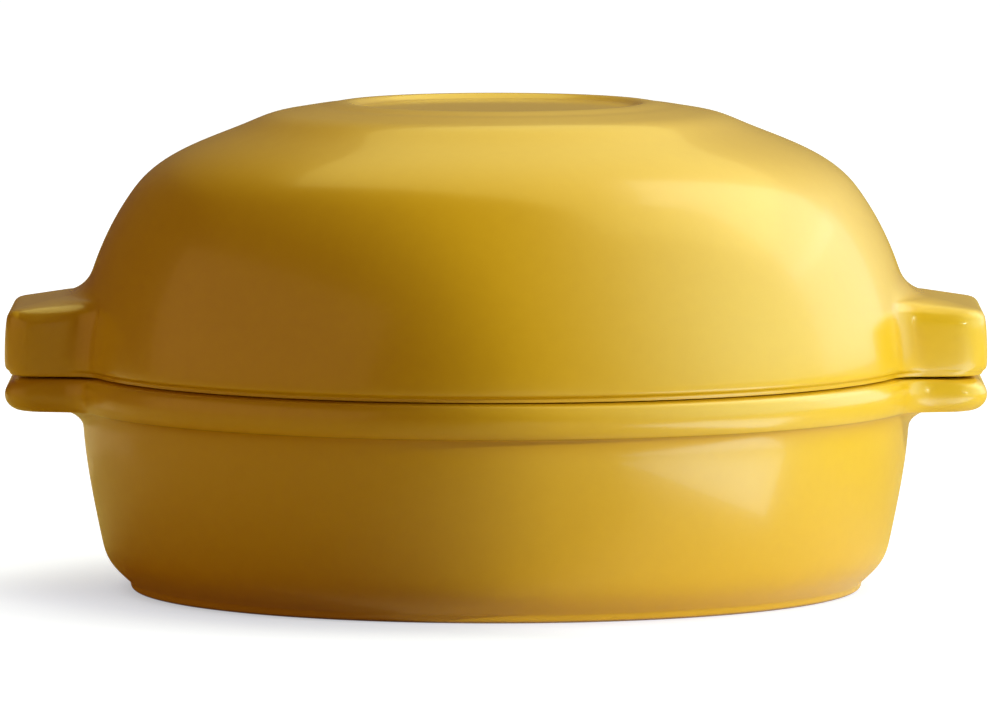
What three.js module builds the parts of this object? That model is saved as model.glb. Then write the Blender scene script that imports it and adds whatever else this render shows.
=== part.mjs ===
// Stoneware cheese baker: a shallow round dish with two lug handles and a domed lid with matching lugs.
// X runs through the lugs, Y from front to back, Z up from the table. Sizes are in millimetres.
import * as THREE from "three";

// Plan, shared by the dish and the lid
const RIM_RADIUS = 85.8; // dish rim band, the widest round part
const LUG_REACH = 12.3; // lug end beyond the rim band
const LUG_WIDTH = 45;
const LUG_CORNER = 5.5; // plan radius of a lug's outer corners
const LUG_ROOT = 6; // plan fillet where a lug leaves the wall

// Dish section
const DISH_HEIGHT = 44; // table to the seat that carries the lid
const DISH_WALL = 5.4;
const DISH_FLOOR = 4.4;
const SEAT_ROUND = 1.4; // inner edge of the seat
const RIM_ROUND = 1.5; // how far the rim band's edges curve in
const RIM_SHOULDER = 1.8; // width of the slope between the seat and the band
const RIM_OVERHANG = 2.9; // rim band beyond the wall below it
const COVE_HEIGHT = 4.4; // hollow under the rim band
const WALL_TAPER = 3.8; // how far the wall leans in towards the base
const BASE_HEIGHT = 9.5; // top of the round corner between the base and the wall
const FOOT_INSET = 5.6; // foot side behind the wall's lower end
const FOOT_HEIGHT = 1.5;
const FOOT_ROUND = 0.9;
const FOOT_WIDTH = 6.2; // foot ring, from its side to its inner edge
const FOOT_RECESS = 2.3; // height of the underside inside the foot ring
const INNER_CORNER = 9; // between the inner wall and the floor

// Dish lug section
const DISH_LUG_DROP = 0.35; // lug top below the seat
const DISH_LUG_THICKNESS = 6.7;
const DISH_LUG_NOSE = 2.2; // depth of the rounded outer edge, lower half
const DISH_LUG_BROW = 2; // and upper half
const DISH_LUG_HEEL = 6; // reach of the hollow under a lug

// Lid section
const SEAT_GAP = 0.3; // hairline between the seat and the lid
const LID_HEIGHT = 53.4; // lid underside to the highest point of its crown
const LID_SETBACK = 1.4; // lid edge behind the rim band
const UNDERCUT = 1; // groove behind the lid's lower edge, along the seam
const UNDERCUT_HEIGHT = 0.85;
const LID_EDGE_ROUND = 0.4; // above the groove
const LID_WALL = 6;
const SHOULDER_INSET = 12; // shoulder behind the lid edge
const SHOULDER_DROP = 17; // shoulder below the crown
const CROWN_FOOT_RADIUS = 48.9; // where the dome begins to flatten into the crown
const CROWN_FOOT_DROP = 3.8; // that place below the crest
const BROW_INSET = 3.7; // brow, where the crown's slope eases, inside that place
const BROW_DROP = 2.25;
const BROW_ROUND = 2.6;
const BROW_WIDTH = 8.4; // from the brow to the foot of the crest
const CREST_FOOT_DROP = 0.85;
const CREST_SLOPE = 6.3; // from its foot up to the crest, the highest ring
const CREST_WIDTH = 0.7; // flat ring round the recess
const RECESS_SLOPE = 2.8; // width of the recess's soft edge
const RECESS_DEPTH = 1; // shallow round recess in the middle
const CROWN_THICKNESS = 6; // under the recess
const LIP_CLEARANCE = 1.2; // between the lid's lip and the dish's inner wall
const LIP_THICKNESS = 3.6;
const LIP_DEPTH = 3.8; // lip below the lid's underside
const LIP_ROUND = 1.2;
const LIP_FLARE = 11; // height over which the inner wall draws in to the lip

// Lid lug section
const LID_LUG_HEIGHT = 13.3; // at the lug's outer end
const LID_LUG_SLOPE = 1.7; // rise of the top towards the wall
const LID_LUG_SHOULDER = 0.45; // how far the end leans in below its top edge
const LID_LUG_TOP_ROUND = 1.9;
const LID_LUG_BOTTOM_ROUND = 1.7; // depth of the rounded lower edge
const LID_LUG_BOTTOM_HEIGHT = 2.6; // and its height
const LID_LUG_COVE = 5; // fillet between the lug's top and the wall

// Lean from the upright towards the axis, in degrees, with a minus for a lean outwards
const BASE_LEAN = -48;
const WALL_BASE_LEAN = -12;
const WALL_TOP_LEAN = -4;
const EDGE_LEAN = 2;
const SHOULDER_LEAN = 37;
const CROWN_LEAN = 66;
const LID_LUG_LEAN = 8;

// Facets in one quarter of the plan, and along the sections
const END_STEPS = 2;
const CORNER_STEPS = 4;
const ROOT_STEPS = 3;
const WALL_STEPS = 7;
const ARC_STEPS = 3;
const DOME_STEPS = 9;
const RING_SPACING = 1.5; // least height from the lug's cove to the next ring

const GLAZE = { color: 0xd2a22c, roughness: 0.15, metalness: 0 };

const lidEdgeRadius = RIM_RADIUS - LID_SETBACK;
const lugEnd = RIM_RADIUS + LUG_REACH;
const lidBottom = DISH_HEIGHT + SEAT_GAP;
const crownTop = lidBottom + LID_HEIGHT;
const wallTop = RIM_RADIUS - RIM_OVERHANG;
const wallBase = wallTop - WALL_TAPER;
const innerTop = wallTop - DISH_WALL;

/** Evenly spaced numbers from one value to another, both included. */
function spread(from, to, steps) {
  return Array.from({ length: steps + 1 }, (_, i) => from + ((to - from) * i) / steps);
}

/** Points of an elliptical arc in a section, as [radius, height], between two angles in degrees. */
function sectionArc(centre, halfWidth, halfHeight, from, to, steps = ARC_STEPS) {
  return spread(from, to, steps).map((degrees) => {
    const angle = THREE.MathUtils.degToRad(degrees);
    return [centre[0] + halfWidth * Math.cos(angle), centre[1] + halfHeight * Math.sin(angle)];
  });
}

/**
 * One quarter of the plan, from the middle of a lug's end to the Y axis. Each column holds the direction
 * of its point on the round wall and the offset from there to the lug's outline, which is zero past the root.
 */
function quarterPlan(wallRadius) {
  const half = LUG_WIDTH / 2;
  const rootX = Math.sqrt((wallRadius + LUG_ROOT) ** 2 - (half + LUG_ROOT) ** 2);
  const rootAngle = Math.atan2(half + LUG_ROOT, rootX);
  const outline = new THREE.CurvePath();
  const cornerX = lugEnd - LUG_CORNER;
  const cornerY = half - LUG_CORNER;
  outline.add(new THREE.LineCurve(new THREE.Vector2(lugEnd, 0), new THREE.Vector2(lugEnd, cornerY)));
  outline.add(new THREE.EllipseCurve(cornerX, cornerY, LUG_CORNER, LUG_CORNER, 0, Math.PI / 2));
  outline.add(new THREE.LineCurve(new THREE.Vector2(cornerX, half), new THREE.Vector2(rootX, half)));
  const rootEnd = rootAngle - Math.PI;
  outline.add(new THREE.EllipseCurve(rootX, half + LUG_ROOT, LUG_ROOT, LUG_ROOT, -Math.PI / 2, rootEnd, true));

  const lengths = outline.getCurveLengths();
  const total = lengths[lengths.length - 1];
  const columns = [];
  const steps = [END_STEPS, CORNER_STEPS, 1, ROOT_STEPS];
  outline.curves.forEach((curve, piece) => {
    const start = piece === 0 ? 0 : lengths[piece - 1];
    for (let i = 0; i < steps[piece]; i += 1) {
      const along = i / steps[piece];
      const point = curve.getPointAt(along);
      const travelled = (start + along * (lengths[piece] - start)) / total;
      const angle = rootAngle * travelled ** 2;
      const wall = new THREE.Vector2(Math.cos(angle), Math.sin(angle));
      columns.push({ wall, offset: point.addScaledVector(wall, -wallRadius) });
    }
  });
  for (const angle of spread(rootAngle, Math.PI / 2, WALL_STEPS)) {
    columns.push({ wall: new THREE.Vector2(Math.cos(angle), Math.sin(angle)), offset: new THREE.Vector2() });
  }
  return columns;
}

/**
 * Closed body lofted through rings. A ring is [radius, height, lug], where lug runs from 0 on the plain
 * round wall to 1 on the lug's full outline. The first and last rings are single points on the axis.
 */
function ringLoft(rings, wallRadius) {
  const quarter = quarterPlan(wallRadius);
  const perQuarter = quarter.length - 1;
  const count = perQuarter * 4;
  const signs = [[1, 1], [-1, 1], [-1, -1], [1, -1]];
  const positions = [];
  for (const [radius, height, lug = 0] of rings.slice(1, -1)) {
    for (let j = 0; j < count; j += 1) {
      const turn = Math.floor(j / perQuarter);
      const step = j % perQuarter;
      const { wall, offset } = quarter[turn % 2 === 0 ? step : perQuarter - step];
      const x = radius * wall.x + lug * offset.x;
      const y = radius * wall.y + lug * offset.y;
      positions.push(signs[turn][0] * x, signs[turn][1] * y, height);
    }
  }
  const firstPole = positions.length / 3;
  const lastPole = firstPole + 1;
  positions.push(0, 0, rings[0][1], 0, 0, rings[rings.length - 1][1]);

  const faces = [];
  const lastRing = rings.length - 3;
  for (let j = 0; j < count; j += 1) {
    const k = (j + 1) % count;
    faces.push(firstPole, k, j);
    for (let i = 0; i < lastRing; i += 1) {
      const low = i * count;
      const high = low + count;
      faces.push(low + j, low + k, high + k, low + j, high + k, high + j);
    }
    faces.push(lastRing * count + j, lastRing * count + k, lastPole);
  }
  const geometry = new THREE.BufferGeometry();
  geometry.setAttribute("position", new THREE.Float32BufferAttribute(positions, 3));
  geometry.setIndex(faces);
  geometry.computeVertexNormals();
  return geometry;
}

/** Direction that rises and leans towards the axis by the given angle from the upright. */
function leaning(degrees) {
  const angle = THREE.MathUtils.degToRad(degrees);
  return new THREE.Vector2(-Math.sin(angle), Math.cos(angle));
}

/** Smooth stretch of a section between two points, with the lean at each of its ends. */
function stretch(start, startLean, end, endLean, pull = 1 / 3) {
  const handle = start.distanceTo(end) * pull;
  const first = start.clone().addScaledVector(leaning(startLean), handle);
  const second = end.clone().addScaledVector(leaning(endLean), -handle);
  return new THREE.CubicBezierCurve(start, first, second, end);
}

/** Plain ring for a point of a section. */
function plainRing(point) {
  return [point.x, point.y];
}

/** Recessed underside, foot ring and the round corner up to the wall, from the axis outwards. */
function dishUnderside() {
  const footSide = wallBase - FOOT_INSET;
  const footInner = footSide - FOOT_WIDTH;
  const footCorner = [footSide - FOOT_ROUND, FOOT_ROUND];
  const start = new THREE.Vector2(footSide, FOOT_HEIGHT);
  const corner = stretch(start, BASE_LEAN, new THREE.Vector2(wallBase, BASE_HEIGHT), WALL_BASE_LEAN, 0.42);
  return [
    [0, FOOT_RECESS],
    [footInner - FOOT_RECESS, FOOT_RECESS],
    [footInner, 0],
    ...sectionArc(footCorner, FOOT_ROUND, FOOT_ROUND, -90, 0),
    ...corner.getPoints(2 * ARC_STEPS).slice(0, -1).map(plainRing),
  ];
}

/** Wall, cove and rim band, with the dish's lugs growing out of the band. */
function dishOutside() {
  const bandTop = DISH_HEIGHT - DISH_LUG_DROP;
  const bandMiddle = bandTop - DISH_LUG_THICKNESS / 2;
  const bandBottom = bandTop - DISH_LUG_THICKNESS;
  const coveBottom = bandBottom - COVE_HEIGHT;
  const reach = lugEnd - RIM_RADIUS;
  const bandInset = RIM_RADIUS - RIM_ROUND;
  const base = new THREE.Vector2(wallBase, BASE_HEIGHT);
  const wall = stretch(base, WALL_BASE_LEAN, new THREE.Vector2(wallTop, coveBottom), WALL_TOP_LEAN);
  const cove = sectionArc([bandInset, coveBottom], bandInset - wallTop, COVE_HEIGHT, 180, 90, 4).slice(0, -1);
  const heel = sectionArc([DISH_LUG_HEEL, 0], DISH_LUG_HEEL, 1, 180, 90, 4);
  const nose = spread(-90, 90, 2 * ARC_STEPS).map((degrees) => {
    const angle = THREE.MathUtils.degToRad(degrees);
    const radius = bandInset + RIM_ROUND * Math.cos(angle);
    const height = bandMiddle + (DISH_LUG_THICKNESS / 2) * Math.sin(angle);
    const depth = degrees < 0 ? DISH_LUG_NOSE : DISH_LUG_BROW;
    return [radius, height, (reach - depth * (1 - Math.cos(angle))) / reach];
  });
  return [
    ...wall.getPoints(ARC_STEPS).slice(0, -1).map(plainRing),
    ...cove.map(([radius, height], i) => [radius, height, heel[i][0] / reach]),
    ...nose,
    [bandInset - RIM_SHOULDER, DISH_HEIGHT],
  ];
}

/** Seat edge, inner wall and floor, ending on the axis. */
function dishInside() {
  const floor = FOOT_RECESS + DISH_FLOOR;
  const innerBase = innerTop - WALL_TAPER;
  const cornerHeight = floor + INNER_CORNER;
  const corner = [innerBase - INNER_CORNER, cornerHeight];
  return [
    ...sectionArc([innerTop + SEAT_ROUND, DISH_HEIGHT - SEAT_ROUND], SEAT_ROUND, SEAT_ROUND, 90, 180),
    ...sectionArc(corner, INNER_CORNER, INNER_CORNER, 0, -90),
    [corner[0] / 2, floor],
    [0, floor],
  ];
}

/** Outside of the dome as a fine run of points from the lid edge to the foot of the crown. */
function domeCurve() {
  const edge = new THREE.Vector2(lidEdgeRadius, lidBottom + UNDERCUT_HEIGHT + LID_EDGE_ROUND);
  const shoulder = new THREE.Vector2(lidEdgeRadius - SHOULDER_INSET, crownTop - SHOULDER_DROP);
  const foot = new THREE.Vector2(CROWN_FOOT_RADIUS, crownTop - CROWN_FOOT_DROP);
  const dome = new THREE.CurvePath();
  dome.add(stretch(edge, EDGE_LEAN, shoulder, SHOULDER_LEAN));
  dome.add(stretch(shoulder, SHOULDER_LEAN, foot, CROWN_LEAN));
  return dome;
}

/** Radius of a rising run of section points at a height between its ends. */
function radiusAt(points, height) {
  const above = points.findIndex((point) => point.y >= height);
  if (above <= 0) {
    return points[0].x;
  }
  const [low, high] = [points[above - 1], points[above]];
  return low.x + ((high.x - low.x) * (height - low.y)) / (high.y - low.y);
}

/** Ceiling, inner wall and locating lip, from the axis down to the lid's flat underside. */
function lidInside(dome) {
  const ceiling = crownTop - RECESS_DEPTH - CROWN_THICKNESS;
  const lipOuter = innerTop - LIP_CLEARANCE;
  const lipInner = lipOuter - LIP_THICKNESS;
  const flareTop = lidBottom + LIP_FLARE;
  const inner = dome.getSpacedPoints(DOME_STEPS).map((point, i) => {
    const tangent = dome.getTangentAt(i / DOME_STEPS);
    return point.add(new THREE.Vector2(-tangent.y, tangent.x).multiplyScalar(LID_WALL));
  });
  const wall = inner.filter((point) => point.y > flareTop).reverse();
  const start = wall[0];
  const slope = leaning(CROWN_LEAN);
  const bend = start.clone().addScaledVector(slope, (ceiling - start.y) / slope.y);
  const vault = new THREE.QuadraticBezierCurve(new THREE.Vector2(0, ceiling), bend, start);
  const lipBottom = lidBottom - LIP_DEPTH;
  const lipHeight = lipBottom + LIP_ROUND;
  return [
    ...vault.getPoints(ARC_STEPS).slice(0, -1).map(plainRing),
    ...wall.map(plainRing),
    [lipInner, lidBottom],
    ...sectionArc([lipInner + LIP_ROUND, lipHeight], LIP_ROUND, LIP_ROUND, 180, 270, 2),
    ...sectionArc([lipOuter - LIP_ROUND, lipHeight], LIP_ROUND, LIP_ROUND, -90, 0, 2),
    [lipOuter, lidBottom],
  ];
}

/** Undercut lower edge, lugs with their sloping tops and coves, and the dome up to the crown. */
function lidOutside(dome) {
  const curve = dome.getPoints(4 * DOME_STEPS);
  const reach = lugEnd - lidEdgeRadius;
  const ring = (out, height, radius) => [radius, height, Math.min(1, (out - radius) / reach)];
  const grooveTop = UNDERCUT_HEIGHT + LID_EDGE_ROUND;
  const rises = [0, UNDERCUT_HEIGHT / 2, UNDERCUT_HEIGHT, grooveTop, LID_LUG_BOTTOM_HEIGHT];
  const edge = rises.map((rise) => {
    const below = 1 - rise / LID_LUG_BOTTOM_HEIGHT;
    const tuck = LID_LUG_BOTTOM_ROUND * (1 - Math.sqrt(1 - below ** 2));
    const groove = rise > UNDERCUT_HEIGHT ? 0 : UNDERCUT;
    return ring(lugEnd - tuck, lidBottom + rise, radiusAt(curve, lidBottom + rise) - groove);
  });

  const lugTop = lidBottom + LID_LUG_HEIGHT;
  const coveBase = lugTop + LID_LUG_SLOPE;
  const coveTop = coveBase + LID_LUG_COVE;
  const coveOut = radiusAt(curve, coveBase) + LID_LUG_COVE;
  const belly = new THREE.Vector2(lugEnd, lidBottom + LID_LUG_BOTTOM_HEIGHT);
  const shoulder = new THREE.Vector2(lugEnd - LID_LUG_SHOULDER, lugTop - LID_LUG_TOP_ROUND);
  const brow = new THREE.Vector2(shoulder.x - LID_LUG_TOP_ROUND, lugTop);
  const topLean = 90 - THREE.MathUtils.radToDeg(Math.atan2(LID_LUG_SLOPE, brow.x - coveOut));
  const face = [
    ...stretch(belly, 0, shoulder, LID_LUG_LEAN).getPoints(2).slice(1),
    ...stretch(shoulder, LID_LUG_LEAN, brow, topLean, 0.38).getPoints(ARC_STEPS).slice(1),
  ];
  const cove = sectionArc([LID_LUG_COVE, coveTop], LID_LUG_COVE, LID_LUG_COVE, 270, 180, 4);
  const rise = dome.getSpacedPoints(2 * DOME_STEPS).filter((point) => point.y > coveTop + RING_SPACING);
  return [
    ...edge,
    ...face.map((point) => ring(point.x, point.y, radiusAt(curve, point.y))),
    ...cove.map(([out, height]) => [radiusAt(curve, height), height, out / reach]),
    ...rise.map(plainRing),
  ];
}

/** Slope over the rounded brow to a low crest, and the shallow recess inside it, ending on the axis. */
function lidTop() {
  const foot = new THREE.Vector2(CROWN_FOOT_RADIUS, crownTop - CROWN_FOOT_DROP);
  const brow = new THREE.Vector2(CROWN_FOOT_RADIUS - BROW_INSET, crownTop - BROW_DROP);
  const crestFoot = new THREE.Vector2(brow.x - BROW_WIDTH, crownTop - CREST_FOOT_DROP);
  const below = foot.sub(brow).setLength(BROW_ROUND).add(brow);
  const above = crestFoot.clone().sub(brow).setLength(BROW_ROUND).add(brow);
  const round = new THREE.QuadraticBezierCurve(below, brow, above);
  const crest = crestFoot.x - CREST_SLOPE;
  const recessEdge = crest - CREST_WIDTH;
  const recessRadius = recessEdge - RECESS_SLOPE;
  const recess = crownTop - RECESS_DEPTH;
  return [
    ...round.getPoints(2).map(plainRing),
    plainRing(crestFoot),
    [crest + CREST_SLOPE / 2, crownTop - CREST_FOOT_DROP / 2],
    [crest, crownTop],
    [recessEdge, crownTop],
    [recessRadius, recess],
    [recessRadius / 2, recess],
    [0, recess],
  ];
}

function glazed(name, geometry) {
  const mesh = new THREE.Mesh(geometry, new THREE.MeshStandardMaterial(GLAZE));
  mesh.name = name;
  return mesh;
}

function dish() {
  const rings = [...dishUnderside(), ...dishOutside(), ...dishInside()];
  return glazed("dish", ringLoft(rings, RIM_RADIUS));
}

function lid() {
  const dome = domeCurve();
  const rings = [...lidInside(dome), ...lidOutside(dome), ...lidTop()];
  return glazed("lid", ringLoft(rings, lidEdgeRadius));
}

const cheeseBaker = new THREE.Group();
cheeseBaker.add(dish(), lid());

export default cheeseBaker;
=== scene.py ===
"""Dressed model of a stoneware cheese baker.

It gives the dish and the lid fine glazed surfaces, and adds a studio and a camera.
"""

import logging
import math
from dataclasses import dataclass
from enum import Enum
from typing import Any, Union

import bpy
import numpy as np
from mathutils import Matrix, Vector


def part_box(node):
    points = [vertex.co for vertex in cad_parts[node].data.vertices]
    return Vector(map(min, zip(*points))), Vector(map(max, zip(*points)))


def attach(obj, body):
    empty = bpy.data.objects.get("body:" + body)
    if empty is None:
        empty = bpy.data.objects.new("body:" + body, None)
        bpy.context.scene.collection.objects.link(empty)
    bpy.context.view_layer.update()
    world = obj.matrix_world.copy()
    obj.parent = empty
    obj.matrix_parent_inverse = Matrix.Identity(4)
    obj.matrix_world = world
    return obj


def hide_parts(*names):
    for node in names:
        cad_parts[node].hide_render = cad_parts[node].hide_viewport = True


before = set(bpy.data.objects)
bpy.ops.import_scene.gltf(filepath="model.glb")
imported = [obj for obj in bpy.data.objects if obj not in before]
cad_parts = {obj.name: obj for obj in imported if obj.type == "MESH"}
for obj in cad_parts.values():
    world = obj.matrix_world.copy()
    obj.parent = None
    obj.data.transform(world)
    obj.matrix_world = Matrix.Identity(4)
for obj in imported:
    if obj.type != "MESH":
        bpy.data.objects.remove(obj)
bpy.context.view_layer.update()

Array = np.ndarray
Colour = tuple[float, float, float]
log = logging.getLogger("cheese_baker")

MM = 0.001  # the pieces' sizes are in millimetres, the meshes and the studio in metres
FINE_STEP = 0.05  # spacing of the points that a section or a plan is first worked out on
ARC_POINTS = 60
RING_ROWS = 210  # rings of a body, from one end of its section to the other
RING_COLUMNS = 352  # points round a ring
POOL_ATTRIBUTE = "glaze_pool"
CLAY_ATTRIBUTE = "bare_clay"


class Body(Enum):
    """The CAD bodies that the pieces ride on, by name."""

    DISH = "dish"
    LID = "lid"


def node_extent(node: str) -> tuple[Array, Array]:
    """Lowest and highest corner of a CAD node.

    Args:
        node: name of the node.

    Returns:
        The two corners, in millimetres.
    """
    low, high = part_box(node)
    return np.array(low) / MM, np.array(high) / MM


def arc(centre: tuple[float, float], width: float, height: float, start: float, end: float) -> Array:
    """Elliptical arc: the centre plus width times the cosine and height times the sine of the angle.

    Args:
        centre: radius and height of the arc's centre.
        width: half axis along the radius.
        height: half axis along the height.
        start: first angle, in degrees.
        end: last angle, in degrees.

    Returns:
        Points as rows of radius and height.
    """
    angle = np.radians(np.linspace(start, end, ARC_POINTS))
    return np.column_stack([centre[0] + width * np.cos(angle), centre[1] + height * np.sin(angle)])


def bezier(*handles: Array) -> Array:
    """Bezier curve: the handles weighted by the Bernstein polynomials of a parameter from 0 to 1.

    Args:
        handles: three or four points, as radius and height.

    Returns:
        Points as rows of radius and height.
    """
    degree = len(handles) - 1
    t = np.linspace(0.0, 1.0, 4 * ARC_POINTS)[:, None]
    terms = [
        math.comb(degree, i) * t**i * (1 - t) ** (degree - i) * np.asarray(handle)
        for i, handle in enumerate(handles)
    ]
    return np.sum(terms, axis=0)


def leaning(degrees: float) -> Array:
    """Direction upwards in a section, leaning towards the axis by an angle from the upright."""
    return np.array([-math.sin(math.radians(degrees)), math.cos(math.radians(degrees))])


def stretch(start: Array, start_lean: float, end: Array, end_lean: float, pull: float = 1 / 3) -> Array:
    """Cubic curve upwards between two points of a section, with its handles along the lean at each end.

    Args:
        start: lower point.
        start_lean: lean at the lower point, in degrees.
        end: upper point.
        end_lean: lean at the upper point, in degrees.
        pull: length of a handle as a share of the distance between the points.

    Returns:
        Points as rows of radius and height.
    """
    handle = np.hypot(*(end - start)) * pull
    return bezier(start, start + handle * leaning(start_lean), end - handle * leaning(end_lean), end)


def smoothstep(low: float, high: float, value: Array) -> Array:
    """Smooth rise from 0 to 1 between two values: three times the square less twice the cube.

    Args:
        low: value where the rise begins.
        high: value where it ends.
        value: numbers to map.

    Returns:
        The mapped numbers.
    """
    t = np.clip((value - low) / (high - low), 0.0, 1.0)
    return t * t * (3.0 - 2.0 * t)


def blurred(values: Array, sigma: float, closed: bool) -> Array:
    """Gaussian blur along the first axis.

    Args:
        values: one row for each evenly spaced point.
        sigma: width of the blur, in points.
        closed: whether the run closes on itself; an open run is continued point-mirrored past its ends.

    Returns:
        The blurred rows.
    """
    half = int(math.ceil(3.5 * sigma))
    kernel = np.exp(-0.5 * (np.arange(-half, half + 1) / sigma) ** 2)
    kernel /= kernel.sum()
    ends = ((half, half),) + ((0, 0),) * (values.ndim - 1)
    if closed:
        padded = np.pad(values, ends, mode="wrap")
    else:
        padded = np.pad(values, ends, mode="reflect", reflect_type="odd")
    return np.apply_along_axis(lambda column: np.convolve(column, kernel, mode="valid"), 0, padded)


def bend(x: Array, y: Array) -> Array:
    """Signed curvature of a run of evenly spaced points, positive where it turns left.

    Args:
        x: first coordinate of each point.
        y: second coordinate of each point.

    Returns:
        Curvature at each point, in 1/mm.
    """
    dx, dy = np.gradient(x), np.gradient(y)
    speed = np.maximum(np.hypot(dx, dy), 1e-9)
    return (dx * np.gradient(dy) - dy * np.gradient(dx)) / speed**3


def spaced(weight: Array, count: int) -> Array:
    """Places along a run so that each pair of neighbours holds the same share of a weight.

    Args:
        weight: weight of each point of the run.
        count: number of places.

    Returns:
        Places as fractional indices, from the first point to the last.
    """
    total = np.concatenate([[0.0], np.cumsum(0.5 * (weight[1:] + weight[:-1]))])
    return np.interp(np.linspace(0.0, total[-1], count), total, np.arange(len(weight)))


def picked(values: Array, places: Array) -> Array:
    """Rows of a run at fractional indices, interpolated along the straight.

    Args:
        values: one row for each point.
        places: fractional indices.

    Returns:
        One row for each place.
    """
    low = np.clip(places.astype(int), 0, len(values) - 2)
    share = (places - low).reshape((-1,) + (1,) * (values.ndim - 1))
    return values[low] * (1.0 - share) + values[low + 1] * share


@dataclass
class LugPlan:
    """Plan of a round wall with a lug at each end of the X axis."""

    wall_radius: float
    end: float
    width: float
    corner: float
    root: float
    softness: float = 0.6
    bend_blur: float = 0.8
    least_offset: float = 0.02  # a column with less belongs to the plain wall
    crowding: float = 14.0  # how much closer the columns stand for each 1/mm of bend

    def quarter(self) -> tuple[Array, Array]:
        """Quarter outline from the middle of a lug's end to the Y axis.

        It is a line, a corner arc, a line, a root fillet and the round wall.

        Returns:
            The angle of each point on the round wall, and the offset from there to the lug's outline.
        """
        half = self.width / 2
        root_x = math.sqrt((self.wall_radius + self.root) ** 2 - (half + self.root) ** 2)
        root_angle = math.atan2(half + self.root, root_x)
        corner = (self.end - self.corner, half - self.corner)
        run = np.vstack([
            [[self.end, 0.0]],
            arc(corner, self.corner, self.corner, 0.0, 90.0),
            arc((root_x, half + self.root), self.root, self.root, -90.0, math.degrees(root_angle) - 180.0),
        ])
        length = np.concatenate([[0.0], np.cumsum(np.hypot(*np.diff(run, axis=0).T))])
        place = np.arange(0.0, length[-1], FINE_STEP)
        outline = np.column_stack([np.interp(place, length, run[:, i]) for i in range(2)])
        lug_angle = root_angle * (place / length[-1]) ** 2
        offset = outline - self.wall_radius * np.column_stack([np.cos(lug_angle), np.sin(lug_angle)])
        wall_angle = np.arange(root_angle, math.pi / 2, FINE_STEP / self.wall_radius)
        angle = np.concatenate([lug_angle, wall_angle])
        return angle, np.vstack([offset, np.zeros((len(wall_angle), 2))])

    def columns(self) -> tuple[Array, Array, Array]:
        """Columns round the whole plan: the quarter mirrored into four, softened, and closer on bends.

        Returns:
            Wall directions, lug offsets and the plan's bend, one row for each column.
        """
        angle, offset = self.quarter()
        flip_x, flip_y = np.array([-1.0, 1.0]), np.array([1.0, -1.0])
        half_angle = np.concatenate([angle, math.pi - angle[::-1]])
        half_offset = np.vstack([offset, offset[::-1] * flip_x])
        angle = np.concatenate([half_angle, 2 * math.pi - half_angle[::-1]])
        offset = np.vstack([half_offset, half_offset[::-1] * flip_y])
        offset = blurred(offset, self.softness / FINE_STEP, closed=True)
        wall = np.column_stack([np.cos(angle), np.sin(angle)])
        outline = self.wall_radius * wall + offset
        turn = blurred(bend(*outline.T), self.bend_blur / FINE_STEP, closed=True)
        turn = np.where(np.hypot(*offset.T) > self.least_offset, turn, 0.0)
        places = spaced(1.0 + self.crowding * np.abs(turn), RING_COLUMNS + 1)[:-1]
        return picked(wall, places), picked(offset, places), picked(turn, places)


@dataclass
class Section:
    """Half section of a body, from its lower end on the axis to its upper end there.

    Each point is a radius, a height and a lug share, from 0 on the plain wall to 1 on the lug's outline.
    """

    points: Array
    reach: float
    softness: float = 0.35
    axis_zone: float = 30.0  # radius within which the rows stand further apart
    axis_weight: float = 0.25
    wall_bend_limit: float = 2.0
    bend_limit: float = 1.5
    crowding: float = 6.0  # how much closer the rows stand for each 1/mm of bend
    hollow_limit: float = 0.6
    hollow_blur: float = 1.3

    def rows(self) -> tuple[Array, Array, Array]:
        """Rows along the section: softened as glaze softens an edge, and closer together on bends.

        Returns:
            Rows of radius, height and lug share, the hollow of the plain wall and the hollow through a lug.
        """
        points = self.points
        out = points[:, 0] + points[:, 2] * self.reach
        steps = np.hypot(np.diff(out), np.diff(points[:, 1]))
        points = points[np.concatenate([[True], steps > 1e-6])]
        out = points[:, 0] + points[:, 2] * self.reach
        length = np.concatenate([[0.0], np.cumsum(np.hypot(np.diff(out), np.diff(points[:, 1])))])
        place = np.linspace(0.0, length[-1], int(length[-1] / FINE_STEP))
        fine = np.column_stack([np.interp(place, length, points[:, i]) for i in range(3)])
        fine = blurred(fine, self.softness / FINE_STEP, closed=False)
        fine[[0, -1], 0] = 0.0
        wall_bend = bend(fine[:, 0], fine[:, 1])
        lug_bend = bend(fine[:, 0] + self.reach * fine[:, 2], fine[:, 1])
        tightest = np.maximum(np.abs(lug_bend), np.clip(np.abs(wall_bend), 0.0, self.wall_bend_limit))
        from_axis = smoothstep(0.0, self.axis_zone, fine[:, 0])
        weight = self.axis_weight + (1.0 - self.axis_weight) * from_axis
        places = spaced(weight + self.crowding * np.clip(tightest, 0.0, self.bend_limit), RING_ROWS)
        spread = self.hollow_blur / FINE_STEP
        wall_hollow, lug_hollow = (
            -blurred(np.clip(value, -self.hollow_limit, self.hollow_limit), spread, closed=False)
            for value in (wall_bend, lug_bend)
        )
        return picked(fine, places), picked(wall_hollow, places), picked(lug_hollow, places)


@dataclass
class LugFall:
    """How the top of a lug falls towards its two sides."""

    depth: float
    width: float
    half: float
    foot: float
    top: float

    def drop(self, grid: Array, on_lug: Array) -> Array:
        """Fall at each point: depth times squared nearness to a side times rise from the lug's foot.

        Args:
            grid: points of the body.
            on_lug: how much each point belongs to a lug.

        Returns:
            The distance by which each point comes down.
        """
        across = np.clip((np.abs(grid[..., 1]) - self.half + self.width) / self.width, 0.0, 1.0)
        rise = np.clip((grid[..., 2] - self.foot) / (self.top - self.foot), 0.0, 1.0)
        return self.depth * across**2 * rise * on_lug


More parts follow.
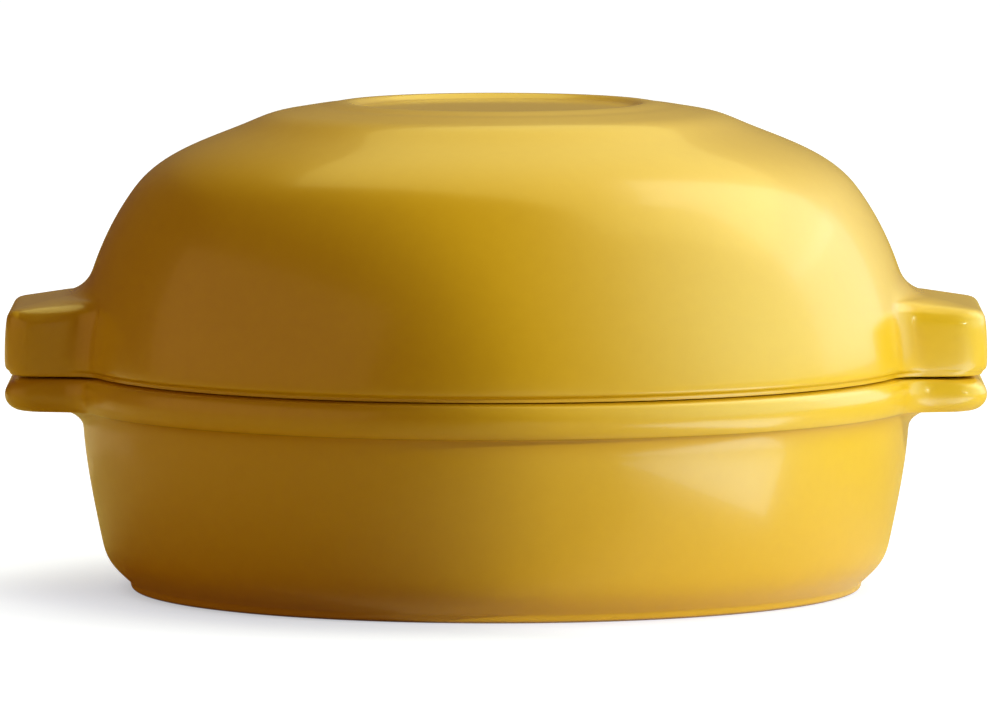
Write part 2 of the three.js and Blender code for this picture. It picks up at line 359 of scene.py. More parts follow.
def loft(name: str, section: Section, plan: LugPlan, fall: LugFall | None = None) -> bpy.types.Object:
    """Closed body on a grid of rows by columns.

    Each point is the radius times the wall direction plus the lug share times the lug offset, at its height.

    Args:
        name: name of the new object.
        section: half section whose rows are the rings.
        plan: plan whose columns go round each ring.
        fall: how the tops of the lugs fall to their sides, if they do.

    Returns:
        The object, with the depth of glaze that gathers in hollows as an attribute.
    """
    rows, wall_hollow, lug_hollow = section.rows()
    wall, offset, turn = plan.columns()
    plane = rows[:, None, 0:1] * wall[None] + rows[:, None, 2:3] * offset[None]
    height = np.broadcast_to(rows[:, None, 1:2], plane.shape[:2] + (1,))
    grid = np.concatenate([plane, height], axis=2)
    on_lug = np.clip(np.hypot(*offset.T) / section.reach, 0.0, 1.0)[None]
    if fall is not None:
        grid[..., 2] -= fall.drop(grid, on_lug * rows[:, 2:3])
    hollow = wall_hollow[:, None] * (1.0 - on_lug) + lug_hollow[:, None] * on_lug
    hollow = hollow - turn[None] * smoothstep(0.1, 0.7, rows[:, 2])[:, None]

    count = plane.shape[1]
    rings = len(rows) - 2
    verts = np.vstack([grid[1:-1].reshape(-1, 3), grid[0, :1], grid[-1, :1]]) * MM
    pool = np.concatenate([hollow[1:-1].ravel(), hollow[0, :1], hollow[-1, :1]])
    j = np.arange(count)
    k = (j + 1) % count
    start = (np.arange(rings - 1) * count)[:, None]
    quads = np.stack([start + j, start + k, start + count + k, start + count + j], axis=2).reshape(-1, 4)
    top = (rings - 1) * count
    lower_fan = np.column_stack([np.full(count, rings * count), k, j])
    upper_fan = np.column_stack([top + j, top + k, np.full(count, rings * count + 1)])
    obj = mesh_object(name, verts, quads, np.vstack([lower_fan, upper_fan]))
    add_attribute(obj, POOL_ATTRIBUTE, pool)
    return obj


def mesh_object(name: str, verts: Array, quads: Array, triangles: Array) -> bpy.types.Object:
    """Object from arrays of points and faces, smooth shaded, at the origin.

    Args:
        name: name of the object and its mesh.
        verts: points, in metres.
        quads: four point numbers for each quad.
        triangles: three point numbers for each triangle.

    Returns:
        The linked object.
    """
    mesh = bpy.data.meshes.new(name)
    corners = np.concatenate([quads.ravel(), triangles.ravel()]).astype(np.int32)
    sizes = np.concatenate([np.full(len(quads), 4), np.full(len(triangles), 3)]).astype(np.int32)
    mesh.vertices.add(len(verts))
    mesh.loops.add(len(corners))
    mesh.polygons.add(len(sizes))
    mesh.vertices.foreach_set("co", verts.astype(np.float32).ravel())
    mesh.loops.foreach_set("vertex_index", corners)
    mesh.polygons.foreach_set("loop_start", np.concatenate([[0], np.cumsum(sizes)[:-1]]).astype(np.int32))
    mesh.polygons.foreach_set("use_smooth", np.ones(len(sizes), dtype=bool))
    mesh.update(calc_edges=True)
    mesh.validate()
    obj = bpy.data.objects.new(name, mesh)
    bpy.context.scene.collection.objects.link(obj)
    return obj


def add_attribute(obj: bpy.types.Object, name: str, values: Array) -> None:
    """Stores one number for each point of an object's mesh.

    Args:
        obj: the object.
        name: name of the attribute.
        values: one number for each point.
    """
    layer = obj.data.attributes.new(name, "FLOAT", "POINT")
    layer.data.foreach_set("value", values.astype(np.float32))


def points_of(obj: bpy.types.Object) -> Array:
    """Points of an object's mesh, in millimetres, one row each."""
    flat = np.empty(len(obj.data.vertices) * 3, dtype=np.float32)
    obj.data.vertices.foreach_get("co", flat)
    return flat.reshape(-1, 3) / MM


Operand = Union["Value", float]


class Value:
    """A number in a shader: a socket whose operators add Math nodes."""

    def __init__(self, shader: "Shader", socket: bpy.types.NodeSocket) -> None:
        """Wraps an output socket of a shader's node."""
        self.shader = shader
        self.socket = socket

    def _math(self, operation: str, first: Operand, second: Operand) -> "Value":
        """Math node of two operands."""
        node = self.shader.add("ShaderNodeMath", {"operation": operation}, {0: first, 1: second})
        return Value(self.shader, node.outputs[0])

    def __add__(self, other: Operand) -> "Value":
        """Sum."""
        return self._math("ADD", self, other)

    def __sub__(self, other: Operand) -> "Value":
        """Difference."""
        return self._math("SUBTRACT", self, other)

    def __rsub__(self, other: Operand) -> "Value":
        """Difference from a number."""
        return self._math("SUBTRACT", other, self)

    def __mul__(self, other: Operand) -> "Value":
        """Product."""
        return self._math("MULTIPLY", self, other)

    __radd__ = __add__
    __rmul__ = __mul__

    def larger(self, other: Operand) -> "Value":
        """The larger of two numbers."""
        return self._math("MAXIMUM", self, other)

    def smaller(self, other: Operand) -> "Value":
        """The smaller of two numbers."""
        return self._math("MINIMUM", self, other)

    def held(self) -> "Value":
        """The number held between 0 and 1."""
        return self.larger(0.0).smaller(1.0)

    def eased(self) -> "Value":
        """The number held between 0 and 1, with a soft start and a soft end."""
        held = self.held()
        return held * held * (3.0 - held * 2.0)


class Shader:
    """Node tree of a material, a world or a lamp."""

    def __init__(self, tree: bpy.types.NodeTree) -> None:
        """Empties a node tree and takes it over."""
        self.tree = tree
        tree.nodes.clear()

    def add(self, kind: str, settings: dict[str, Any], sockets: dict[Union[int, str], Any]) -> bpy.types.Node:
        """Adds a node: its settings are set first, then the values or links of its sockets.

        Args:
            kind: type of the node.
            settings: properties of the node.
            sockets: a value, a colour, a socket or a Value for each input, by name or number.

        Returns:
            The node.
        """
        node = self.tree.nodes.new(kind)
        for name, value in settings.items():
            setattr(node, name, value)
        for key, value in sockets.items():
            source = value.socket if isinstance(value, Value) else value
            if isinstance(source, bpy.types.NodeSocket):
                self.tree.links.new(source, node.inputs[key])
            elif isinstance(source, tuple) and len(source) == 3 and node.inputs[key].type == "RGBA":
                node.inputs[key].default_value = (*source, 1.0)
            else:
                node.inputs[key].default_value = source
        return node

    def attribute(self, name: str) -> Value:
        """A mesh attribute as a number."""
        node = self.add("ShaderNodeAttribute", {"attribute_name": name}, {})
        return Value(self, node.outputs["Fac"])

    def noise(self, scale: float, detail: float, roughness: float) -> Value:
        """Noise on Object coordinates.

        Args:
            scale: waves in a metre.
            detail: octaves.
            roughness: share of each finer octave.

        Returns:
            The noise, around 0.5.
        """
        place = self.add("ShaderNodeTexCoord", {}, {})
        sockets = {
            "Vector": place.outputs["Object"], "Scale": scale,
            "Detail": detail, "Roughness": roughness,
        }
        return Value(self, self.add("ShaderNodeTexNoise", {}, sockets).outputs["Fac"])

    def blend(self, share: Operand, first: Any, second: Any) -> bpy.types.NodeSocket:
        """Colour mixed from two colours.

        Args:
            share: share of the second colour.
            first: first colour or its socket.
            second: second colour or its socket.

        Returns:
            The mixed colour.
        """
        settings = {"data_type": "RGBA", "blend_type": "MIX", "clamp_result": False}
        return self.add("ShaderNodeMix", settings, {0: share, 6: first, 7: second}).outputs[2]


@dataclass(frozen=True)
class BareClay:
    """Fired clay with no glaze, fine-grained and matt, on the face of the foot."""

    body: Colour = (0.56, 0.40, 0.26)
    grain: Colour = (0.38, 0.25, 0.15)
    roughness: float = 0.85
    grain_scale: float = 1400.0
    contrast: float = 2.4
    darkness: float = 0.9
    bump_depth: float = 0.0002

    def surface(self, shader: Shader) -> bpy.types.NodeSocket:
        """Adds the clay's nodes and gives their shader socket."""
        speckle = shader.noise(self.grain_scale, 3.0, 0.6)
        colour = shader.blend((speckle * self.contrast - self.darkness).held(), self.body, self.grain)
        relief = {"Strength": 0.5, "Distance": self.bump_depth, "Height": speckle}
        bump = shader.add("ShaderNodeBump", {}, relief)
        sockets = {"Base Color": colour, "Roughness": self.roughness, "Normal": bump.outputs[0]}
        return shader.add("ShaderNodeBsdfPrincipled", {}, sockets).outputs[0]


@dataclass(frozen=True)
class HoneyGlaze:
    """Glossy opaque glaze that gathers deeper in hollows and thins over edges."""

    body: Colour = (0.78, 0.53, 0.014)
    deep: Colour = (0.66, 0.40, 0.009)
    thin: Colour = (0.82, 0.58, 0.035)
    tint: Colour = (1.0, 0.96, 0.85)
    roughness: float = 0.27
    gather: float = 3.2  # share of the deep colour for each 1/mm of hollow
    wear: float = 1.5  # share of the thin colour for each 1/mm of edge
    mottle: float = 0.24
    peel_scale: float = 420.0
    swell_scale: float = 70.0
    peel_share: float = 0.12
    bump_depth: float = 0.0003

    def material(self, name: str, clay: BareClay) -> bpy.types.Material:
        """Makes the material.

        Args:
            name: name of the material.
            clay: what shows where the piece has no glaze.

        Returns:
            The material.
        """
        material = bpy.data.materials.new(name)
        material.use_nodes = True
        shader = Shader(material.node_tree)
        pool = shader.attribute(POOL_ATTRIBUTE)
        peel = shader.noise(self.peel_scale, 2.0, 0.5)
        swell = shader.noise(self.swell_scale, 1.0, 0.4)
        gathered = shader.blend((pool * self.gather).held(), self.body, self.deep)
        worn = shader.blend((pool * -self.wear).held(), gathered, self.thin)
        colour = shader.blend(peel * self.mottle, worn, self.deep)
        waves = swell + peel * self.peel_share
        relief = {"Strength": 0.25, "Distance": self.bump_depth, "Height": waves}
        bump = shader.add("ShaderNodeBump", {}, relief)
        sockets = {
            "Base Color": colour, "Roughness": self.roughness, "Normal": bump.outputs[0],
            "Specular Tint": self.tint, "IOR": 1.75, "Coat Weight": 0.3, "Coat Roughness": 0.06,
        }
        glaze = shader.add("ShaderNodeBsdfPrincipled", {}, sockets)
        bare = shader.attribute(CLAY_ATTRIBUTE)
        mixed = shader.add("ShaderNodeMixShader", {}, {0: bare, 1: glaze.outputs[0], 2: clay.surface(shader)})
        shader.add("ShaderNodeOutputMaterial", {}, {"Surface": mixed.outputs[0]})
        return material


@dataclass
class Vessel:
    """What the dish and the lid share: the lugs' plan, the seat between them and the finish."""

    glaze: bpy.types.Material
    lug_width: float = 45.0
    lug_corner: float = 5.5
    lug_root: float = 6.0
    dish_wall: float = 5.4
    rim_overhang: float = 2.9

    def __post_init__(self) -> None:
        """Takes the outer sizes from the frame."""
        _, dish_high = node_extent("dish")
        _, lid_high = node_extent("lid")
        self.rim_radius = dish_high[1]
        self.lug_end = dish_high[0]
        self.seat = dish_high[2]
        self.lid_edge = lid_high[1]
        self.crown = lid_high[2]
        self.inner_top = self.rim_radius - self.rim_overhang - self.dish_wall

    def plan(self, wall_radius: float) -> LugPlan:
        """Plan of the lugs round a wall of the given radius."""
        return LugPlan(wall_radius, self.lug_end, self.lug_width, self.lug_corner, self.lug_root)

    def dress(self, obj: bpy.types.Object, body: Body, clay: Array) -> bpy.types.Object:
        """Glazes a piece and puts it in its node's place.

        Args:
            obj: the piece.
            body: body and node that it stands for.
            clay: share of bare clay at each point.

        Returns:
            The piece.
        """
        add_attribute(obj, CLAY_ATTRIBUTE, clay)
        obj.data.materials.append(self.glaze)
        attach(obj, body.value)
        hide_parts(body.value)
        return obj


def plain(*points: Array) -> Array:
    """Section points with no lug, from points and runs of radius and height."""
    run = np.vstack([np.atleast_2d(np.asarray(p, dtype=float)) for p in points])
    return np.column_stack([run, np.zeros(len(run))])


@dataclass
class Dish(Vessel):
    """Shallow footed dish with a rim band, a flat seat and two lugs."""

    floor: float = 4.4
    seat_round: float = 1.4
    rim_round: float = 1.5
    rim_shoulder: float = 1.8
    cove_height: float = 4.4
    wall_taper: float = 3.8
    wall_base_lean: float = 12.0
    wall_top_lean: float = 4.0
    wall_pull: float = 0.33
    base_height: float = 9.5
    base_lean: float = 48.0
    base_pull: float = 0.42
    foot_inset: float = 5.6
    foot_height: float = 1.5
    foot_round: float = 0.9
    foot_width: float = 6.2
    recess: float = 2.3
    inner_corner: float = 9.0
    lug_drop: float = 0.35
    lug_thickness: float = 6.7
    lug_nose: float = 2.2
    lug_brow: float = 2.0
    lug_heel: float = 6.0
    clay_top: float = 0.18  # height up to which the foot is bare
    glaze_foot: float = 0.5  # height from which it is glazed

    def underside(self, wall_base: float) -> Array:
        """Recessed underside, foot ring with a rounded edge, and the round corner up to the wall."""
        foot_side = wall_base - self.foot_inset
        foot_inner = foot_side - self.foot_width
        corner = (foot_side - self.foot_round, self.foot_round)
        start = np.array([foot_side, self.foot_height])
        end = np.array([wall_base, self.base_height])
        return plain(
            (0.0, self.recess), (foot_inner - self.recess, self.recess), (foot_inner, 0.0),
            arc(corner, self.foot_round, self.foot_round, -90.0, 0.0),
            stretch(start, -self.base_lean, end, -self.wall_base_lean, self.base_pull),
        )

    def wall(self, wall_base: float, wall_top: float) -> Array:
        """Outer wall, which leans out less and less on its way up."""
        foot = np.array([wall_base, self.base_height])
        top = np.array([wall_top, self.seat - self.lug_drop - self.lug_thickness - self.cove_height])
        return plain(stretch(foot, -self.wall_base_lean, top, -self.wall_top_lean, self.wall_pull))

    def band(self, wall_top: float, reach: float) -> Array:
        """Hollow under the rim band, then the band's rounded edge, which the lugs carry outwards."""
        top = self.seat - self.lug_drop
        inset = self.rim_radius - self.rim_round
        hollow_foot = top - self.lug_thickness - self.cove_height
        cove = arc((inset, hollow_foot), inset - wall_top, self.cove_height, 180.0, 90.0)
        heel = arc((self.lug_heel, 0.0), self.lug_heel, 1.0, 180.0, 90.0)[:, 0] / reach
        angle = np.radians(np.linspace(-90.0, 90.0, 2 * ARC_POINTS))
        radius = inset + self.rim_round * np.cos(angle)
        height = top - self.lug_thickness / 2 * (1.0 - np.sin(angle))
        depth = np.where(angle < 0.0, self.lug_nose, self.lug_brow)
        share = (reach - depth * (1.0 - np.cos(angle))) / reach
        return np.vstack([np.column_stack([cove, heel]), np.column_stack([radius, height, share])])

    def inside(self) -> Array:
        """Rounded seat edge, leaning inner wall, corner and flat floor."""
        floor = self.recess + self.floor
        base = self.inner_top - self.wall_taper
        edge = (self.inner_top + self.seat_round, self.seat - self.seat_round)
        corner = (base - self.inner_corner, floor + self.inner_corner)
        return plain(
            (self.rim_radius - self.rim_round - self.rim_shoulder, self.seat),
            arc(edge, self.seat_round, self.seat_round, 90.0, 180.0),
            arc(corner, self.inner_corner, self.inner_corner, 0.0, -90.0),
            (0.0, floor),
        )

    def build(self) -> bpy.types.Object:
        """Lofts the dish and marks the bare clay on the face of its foot.

        Returns:
            The dressed piece.
        """
        wall_top = self.rim_radius - self.rim_overhang
        reach = self.lug_end - self.rim_radius
        wall_base = wall_top - self.wall_taper
        points = np.vstack([
            self.underside(wall_base),
            self.wall(wall_base, wall_top),
            self.band(wall_top, reach),
            self.inside(),
        ])
        obj = loft("glazed_dish", Section(points, reach), self.plan(self.rim_radius))
        place = points_of(obj)
        clay = 1.0 - smoothstep(self.clay_top, self.glaze_foot, place[:, 2])
        return self.dress(obj, Body.DISH, clay)


@dataclass
class Lid(Vessel):
    """Domed lid with two lugs, a locating lip and a shallow round recess on its crown."""

    seat_gap: float = 0.15
    undercut: float = 1.0
    undercut_height: float = 0.85
    edge_round: float = 0.4
    wall: float = 6.0
    shoulder_inset: float = 12.0
    shoulder_drop: float = 17.0
    crown_foot_radius: float = 48.9
    crown_foot_drop: float = 3.8
    brow_radius: float = 45.2
    brow_drop: float = 2.25
    brow_round: float = 2.6
    crest_foot_radius: float = 36.8
    crest_foot_drop: float = 0.85
    crest_radius: float = 30.5
    recess_edge: float = 29.8
    recess_radius: float = 27.0
    recess_depth: float = 1.0
    crown_thickness: float = 6.0
    lip_clearance: float = 1.2
    lip_thickness: float = 3.6
    lip_depth: float = 3.8
    lip_round: float = 1.2
    lip_flare: float = 11.0
    lip_pull: float = 40.0  # handle below the inner wall, in steps of its points
    edge_lean: float = 2.0
    shoulder_lean: float = 37.0
    crown_lean: float = 66.0
    lug_height: float = 13.3
    lug_slope: float = 1.7
    lug_lean: float = 8.0
    lug_shoulder: float = 0.45
    lug_top_round: float = 1.9
    lug_bottom_round: float = 1.7
    lug_bottom_height: float = 2.6
    lug_cove: float = 5.0
    lug_brow_pull: float = 0.38
    cove_margin: float = 0.1  # room between the cove and the dome's next point
    lug_fall: float = 1.0
    lug_fall_width: float = 3.0

    @property
    def bottom(self) -> float:
        """Height of the lid's flat underside."""
        return self.seat + self.seat_gap

    def dome(self) -> Array:
        """Outside of the dome from the lid's edge over the shoulder to the foot of the crown."""
        edge = np.array([self.lid_edge, self.bottom + self.undercut_height + self.edge_round])
        shoulder = np.array([self.lid_edge - self.shoulder_inset, self.crown - self.shoulder_drop])
        foot = np.array([self.crown_foot_radius, self.crown - self.crown_foot_drop])
        lower = stretch(edge, self.edge_lean, shoulder, self.shoulder_lean)
        upper = stretch(shoulder, self.shoulder_lean, foot, self.crown_lean)
        return np.vstack([lower, upper[1:]])

    def inside(self, dome: Array) -> Array:
        """Ceiling, inner wall at a constant depth behind the dome, and the lip that drops into the dish."""
        ceiling = self.crown - self.recess_depth - self.crown_thickness
        tangent = np.gradient(dome, axis=0)
        tangent /= np.hypot(*tangent.T)[:, None]
        inner = dome + self.wall * np.column_stack([-tangent[:, 1], tangent[:, 0]])
        wall = inner[inner[:, 1] > self.bottom + self.lip_flare][::-1]
        slope = leaning(self.crown_lean)
        turn = wall[0] + slope * (ceiling - wall[0][1]) / slope[1]
        lip_outer = self.inner_top - self.lip_clearance
        lip_inner = lip_outer - self.lip_thickness
        lip_foot = np.array([lip_inner, self.bottom])
        flare = wall[-1] + (wall[-1] - wall[-2]) * self.lip_pull
        low = self.bottom - self.lip_depth + self.lip_round
        size = self.lip_round
        return plain(
            bezier(np.array([0.0, ceiling]), turn, wall[0]), wall,
            bezier(wall[-1], flare, lip_foot + (0.0, self.lip_flare / 2), lip_foot),
            arc((lip_inner + size, low), size, size, 180.0, 270.0),
            arc((lip_outer - size, low), size, size, -90.0, 0.0),
            (lip_outer, self.bottom),
        )

    def outside(self, dome: Array) -> Array:
        """Undercut lower edge, lug with a leaning face, a sloping top and a cove, and the dome above it."""
        reach = self.lug_end - self.lid_edge
        top = self.bottom + self.lug_height
        angle = np.radians(np.linspace(-90.0, 0.0, 4 * ARC_POINTS))
        rise = self.lug_bottom_height * (1.0 + np.sin(angle))
        past_groove = smoothstep(self.undercut_height, self.undercut_height + self.edge_round, rise)
        groove = self.undercut * (1.0 - past_groove)
        tuck = self.lug_bottom_round * (1.0 - np.cos(angle))
        radius = np.interp(self.bottom + rise, dome[:, 1], dome[:, 0]) - groove
        share = np.minimum(1.0, (self.lug_end - tuck - radius) / reach)
        low = np.column_stack([radius, self.bottom + rise, share])
        belly = np.array([self.lug_end, self.bottom + self.lug_bottom_height])
        shoulder = np.array([self.lug_end - self.lug_shoulder, top - self.lug_top_round])
        brow = np.array([shoulder[0] - self.lug_top_round, top])
        cove_base = top + self.lug_slope
        cove_top = cove_base + self.lug_cove
        wall_at_cove = np.interp(cove_base, dome[:, 1], dome[:, 0])
        slope = math.degrees(math.atan2(self.lug_slope, brow[0] - wall_at_cove - self.lug_cove))
        face = np.vstack([
            stretch(belly, 0.0, shoulder, self.lug_lean),
            stretch(shoulder, self.lug_lean, brow, 90.0 - slope, self.lug_brow_pull),
        ])
        cove = arc((self.lug_cove, cove_top), self.lug_cove, self.lug_cove, 270.0, 180.0)
        cove[:, 0] += np.interp(cove[:, 1], dome[:, 1], dome[:, 0])
        lug = np.vstack([face, cove])
        radius = np.interp(lug[:, 1], dome[:, 1], dome[:, 0])
        lug = np.column_stack([radius, lug[:, 1], (lug[:, 0] - radius) / reach])
        return np.vstack([low, lug, plain(dome[dome[:, 1] > cove_top + self.cove_margin])])

    def top(self) -> Array:
        """Slope up to the rounded brow, gentler slope to a low ridge, and the soft recess inside it."""
        foot = np.array([self.crown_foot_radius, self.crown - self.crown_foot_drop])
        brow = np.array([self.brow_radius, self.crown - self.brow_drop])
        rise = np.array([self.crest_foot_radius, self.crown - self.crest_foot_drop])
        below = (foot - brow) * self.brow_round / np.hypot(*(foot - brow))
        above = (rise - brow) * self.brow_round / np.hypot(*(rise - brow))
        radius = np.linspace(self.crest_foot_radius, 0.0, 8 * ARC_POINTS)
        ridge = smoothstep(self.crest_radius, self.crest_foot_radius, radius) * self.crest_foot_drop
        dip = 1.0 - smoothstep(self.recess_radius, self.recess_edge, radius)
        middle = np.column_stack([radius, self.crown - ridge - self.recess_depth * dip])
        return plain(foot, bezier(brow + below, brow, brow + above), middle)

    def build(self) -> bpy.types.Object:
        """Lofts the lid, glazed all over.

        Returns:
            The dressed piece.
        """
        dome = self.dome()
        points = np.vstack([self.inside(dome), self.outside(dome), self.top()])
        section = Section(points, self.lug_end - self.lid_edge)
        foot = self.bottom + self.lug_bottom_height
        top = self.bottom + self.lug_height
        fall = LugFall(self.lug_fall, self.lug_fall_width, self.lug_width / 2, foot, top)
        obj = loft("glazed_lid", section, self.plan(self.lid_edge), fall)
        return self.dress(obj, Body.LID, np.zeros(len(obj.data.vertices)))


def aimed(name: str, data: bpy.types.ID, place: Vector, target: Vector) -> bpy.types.Object:
    """Lamp or camera at a place, turned to a target and linked to the scene.

    Args:
        name: name of the object.
        data: the lamp's or camera's data.
        place: where it stands.
        target: what it looks at.

    Returns:
        The object.
    """
    obj = bpy.data.objects.new(name, data)
    obj.location = place
    obj.rotation_euler = (target - place).to_track_quat("-Z", "Y").to_euler()
    bpy.context.scene.collection.objects.link(obj)
    return obj


@dataclass
class SoftBox:
    """Rectangular studio lamp that looks at a point."""

    name: str
    place: tuple[float, float, float]
    target: tuple[float, float, float]
    width: float
    height: float
    radiance: float
    colour: Colour = (1.0, 1.0, 1.0)

    def build(self) -> bpy.types.Object:
        """Adds the lamp; its power is the radiance times the area times pi.

        Returns:
            The lamp.
        """
        lamp = bpy.data.lights.new(self.name, "AREA")
        lamp.shape = "RECTANGLE"
        lamp.size, lamp.size_y = self.width, self.height
        lamp.energy = self.radiance * self.width * self.height * math.pi
        lamp.color = self.colour
        obj = aimed(self.name, lamp, Vector(self.place), Vector(self.target))
        obj.visible_camera = False
        return obj


@dataclass
class SpotLamp:
    """Focused lamp whose beam ends in a soft edge."""

    name: str
    place: tuple[float, float, float]
    target: tuple[float, float, float]
    cone: float
    edge: float
    power: float
    colour: Colour = (1.0, 1.0, 1.0)
    size: float = 0.003
    in_gloss: bool = False

    def build(self) -> bpy.types.Object:
        """Adds the lamp, which shows in the gloss only where that is asked for.

        Returns:
            The lamp.
        """
        lamp = bpy.data.lights.new(self.name, "SPOT")
        lamp.spot_size = math.radians(self.cone)
        lamp.spot_blend = self.edge
        lamp.shadow_soft_size = self.size
        lamp.energy = self.power
        lamp.color = self.colour
        obj = aimed(self.name, lamp, Vector(self.place), Vector(self.target))
        obj.visible_camera = False
        obj.visible_glossy = self.in_gloss
        return obj


@dataclass
class Studio:
    """Pale floor, soft lamps, dim room and the camera."""

    floor_half: float = 9.0
    floor_colour: Colour = (0.42, 0.42, 0.42)
    floor_glow: Colour = (0.90, 0.95, 1.0)
    painted_shadow_reach: float = 0.04  # how far from the object the painted shadow in the floor's glow reaches, in metres
    # depth of the painted shadow that ambient occlusion cuts into the floor's glow
    painted_shadow_depth: float = 0.66
    painted_shadow_lit_relief: float = 0.36  # how much weaker the painted shadow is on the lit side
    lit_slope: float = 5.0  # rise of the lit side's mask along X, per metre
    lit_start: float = 0.4
    front_slope: float = 8.0  # rise of the front's mask along minus Y, per metre
    front_start: float = 0.5
    floor_gloss: float = 0.4  # share of the white floor in the object's gloss, where the painted reflection shows it
    bounce: Colour = (0.86, 0.76, 0.40)
    room: Colour = (0.09, 0.022, 0.014)
    # painted sheen: a window lobe that shows only in the gloss and lights nothing
    painted_sheen_direction: tuple[float, float, float] = (0.962, -0.084, 0.259)
    painted_sheen_colour: Colour = (0.8, 1.6, 2.1)
    backdrop: tuple[float, float, float] = (0.75, 0.5, 0.433)
    backdrop_colour: Colour = (0.85, 0.85, 0.7)
    camera_distance: float = 2.5
    camera_height: float = 0.251
    axis_column: float = 496.0  # pixel column of the round body's axis
    axis_row: float = 587.5  # pixel row of the floor under it
    scale: float = 4976.0  # pixels in a metre there
    frame_width: int = 1000
    frame_height: int = 723
    sensor: float = 36.0

    def floor(self) -> bpy.types.Object:
        """Floor that looks white, darkens close to the object by a painted shadow in its glow, and throws
        warm light back on it.

        Gloss sees the white only on the lit side in front, by two eased masks along X and Y: a painted
        reflection of the lamp-lit floor.

        Returns:
            The floor.
        """
        half = self.floor_half
        corners = np.array([[-half, -half, 0.0], [half, -half, 0.0], [half, half, 0.0], [-half, half, 0.0]])
        obj = mesh_object("studio_floor", corners, np.array([[0, 1, 2, 3]]), np.empty((0, 3), dtype=int))
        material = bpy.data.materials.new("studio_floor")
        material.use_nodes = True
        shader = Shader(material.node_tree)
        path = shader.add("ShaderNodeLightPath", {}, {})
        place = shader.add("ShaderNodeTexCoord", {}, {})
        split = shader.add("ShaderNodeSeparateXYZ", {}, {0: place.outputs["Object"]})
        lit_side = (Value(shader, split.outputs["X"]) * self.lit_slope + self.lit_start).eased()
        in_front = (Value(shader, split.outputs["Y"]) * -self.front_slope + self.front_start).eased()
        # Painted reflection: gloss sees the glowing white floor only on the lit side in front, and the dim
        # floor elsewhere.
        gloss = Value(shader, path.outputs["Is Glossy Ray"]) * lit_side * in_front * self.floor_gloss
        seen = gloss.larger(Value(shader, path.outputs["Is Camera Ray"]))
        seen = seen.larger(Value(shader, path.outputs["Is Transmission Ray"]))
        # Painted shadow: ambient occlusion dims the floor's glow near the object, more on the side away from
        # the lamps.
        painted_shadow_occlusion = shader.add("ShaderNodeAmbientOcclusion", {"samples": 8}, {"Distance": self.painted_shadow_reach})
        painted_shadow_strength = self.painted_shadow_depth - lit_side * self.painted_shadow_lit_relief
        glow_share_after_painted_shadow = 1.0 - (1.0 - Value(shader, painted_shadow_occlusion.outputs["AO"])) * painted_shadow_strength
        glow_with_painted_shadow = shader.blend(glow_share_after_painted_shadow, (0.0, 0.0, 0.0), self.floor_glow)
        matt = shader.add("ShaderNodeBsdfDiffuse", {}, {"Color": self.floor_colour})
        glow = shader.add("ShaderNodeEmission", {}, {"Color": glow_with_painted_shadow, "Strength": 1.0})
        white = shader.add("ShaderNodeAddShader", {}, {0: matt.outputs[0], 1: glow.outputs[0]})
        dim = shader.add("ShaderNodeBsdfDiffuse", {}, {"Color": self.bounce})
        both = shader.add("ShaderNodeMixShader", {}, {0: seen, 1: dim.outputs[0], 2: white.outputs[0]})
        shader.add("ShaderNodeOutputMaterial", {}, {"Surface": both.outputs[0]})
        obj.data.materials.append(material)
        return obj

    def lobe(self, shader: Shader, direction: tuple[float, float, float]) -> Value:
        """How far a ray goes one way: the cube of the cosine between the two, and nothing past a right angle.

        Args:
            shader: the world's nodes.
            direction: unit vector of that way.

        Returns:
            The share, from 0 to 1.
        """
        place = shader.add("ShaderNodeTexCoord", {}, {})
        sockets = {0: place.outputs["Object"], 1: direction}
        towards = shader.add("ShaderNodeVectorMath", {"operation": "DOT_PRODUCT"}, sockets)
        facing = Value(shader, towards.outputs["Value"]).larger(0.0)
        return facing * facing * facing

    def world(self) -> None:
        """White for the camera, a dim warm room for diffuse light, a backdrop for gloss, and a painted sheen:
        a bright window lobe that shows only in gloss and lights nothing.
        """
        world = bpy.data.worlds.new("studio_room")
        world.use_nodes = True
        shader = Shader(world.node_tree)
        path = shader.add("ShaderNodeLightPath", {}, {})
        glossy = Value(shader, path.outputs["Is Glossy Ray"])
        behind = shader.blend(self.lobe(shader, self.backdrop) * glossy, self.room, self.backdrop_colour)
        # Painted sheen: the bright window lobe is seen by glossy rays only.
        light = shader.blend(self.lobe(shader, self.painted_sheen_direction) * glossy, behind, self.painted_sheen_colour)
        room = shader.add("ShaderNodeBackground", {}, {"Color": light, "Strength": 1.0})
        sweep = shader.add("ShaderNodeBackground", {}, {"Color": (1.0, 1.0, 1.0), "Strength": 1.0})
        seen = path.outputs["Is Camera Ray"]
        both = shader.add("ShaderNodeMixShader", {}, {0: seen, 1: room.outputs[0], 2: sweep.outputs[0]})
        shader.add("ShaderNodeOutputWorld", {}, {"Surface": both.outputs[0]})
        bpy.context.scene.world = world

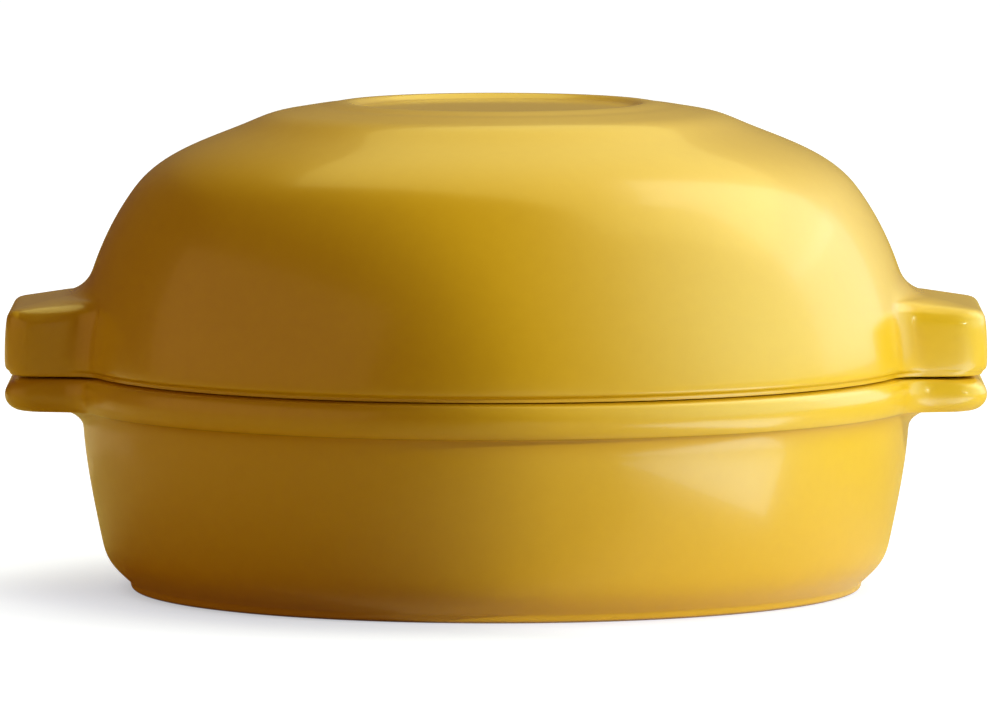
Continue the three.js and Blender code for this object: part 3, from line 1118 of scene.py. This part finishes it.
    def lamps(self) -> list[bpy.types.Object]:
        """Warm fill on the left, boxes above and on the right, a card on the floor, and two spots.

        Returns:
            The lamps.
        """
        lamps = [
            SoftBox("left_fill", (-1.03, -0.376, 0.36), (0.0, 0.0, 0.05), 1.7, 0.7, 0.43, (1.0, 0.60, 0.22)),
            SoftBox("overhead_box", (0.6, 0.6, 1.8), (0.0, 0.0, 0.05), 3.2, 2.0, 1.07, (1.0, 0.93, 0.3)),
            SoftBox("rim_box", (1.0, 0.45, 1.12), (0.0, 0.0, 0.07), 0.9, 1.25, 1.2, (1.0, 1.08, 0.9)),
            SoftBox("side_box", (0.95, 0.45, 0.28), (0.0, 0.0, 0.06), 0.7, 0.5, 0.7, (0.8, 1.1, 1.2)),
            SoftBox(
                "floor_card", (0.16, -0.125, 0.004), (0.16, -0.125, 1.0), 0.13, 0.12, 1.9, (0.65, 1.0, 1.25),
            ),
            SpotLamp(
                "key_spot", (2.153, -1.464, 1.444), (0.219, 0.337, 0.06),
                cone=18.8, edge=0.085, power=318.0, colour=(0.70, 0.66, 0.8),
            ),
            SpotLamp(
                "lug_spot", (0.9, -1.6, 0.5), (0.118, 0.0, 0.05),
                cone=4.6, edge=1.0, power=22.0, colour=(0.75, 1.0, 1.0), size=0.05, in_gloss=True,
            ),
        ]
        return [lamp.build() for lamp in lamps]

    def camera(self) -> bpy.types.Object:
        """Long-lens camera: the axis stands on its column, and the floor under the axis on its row.

        Returns:
            The camera.
        """
        data = bpy.data.cameras.new("camera")
        data.sensor_fit = "HORIZONTAL"
        data.sensor_width = self.sensor
        aim_x = (self.frame_width / 2 - self.axis_column) / self.scale
        aim_z = (self.axis_row - self.frame_height / 2) / self.scale
        place = Vector((aim_x, -self.camera_distance, self.camera_height))
        aim = Vector((aim_x, 0.0, aim_z))
        data.lens = self.scale * (aim - place).length * self.sensor / self.frame_width
        data.clip_end = 50.0
        obj = aimed("camera", data, place, aim)
        bpy.context.scene.camera = obj
        return obj

    def build(self) -> None:
        """Sets up the view, the camera, the lamps, the room and the floor."""
        bpy.context.scene.view_settings.view_transform = "Standard"
        self.camera()
        self.lamps()
        self.world()
        self.floor()


def main() -> None:
    """Builds the studio and the pieces."""
    logging.basicConfig(level=logging.INFO, format="%(name)s: %(message)s")
    Studio().build()
    glaze = HoneyGlaze().material("honey_glaze", BareClay())
    for vessel in (Dish(glaze), Lid(glaze)):
        piece = vessel.build()
        log.info("%s: %d points, %d faces", piece.name, len(piece.data.vertices), len(piece.data.polygons))


if __name__ == "__main__":
    main()
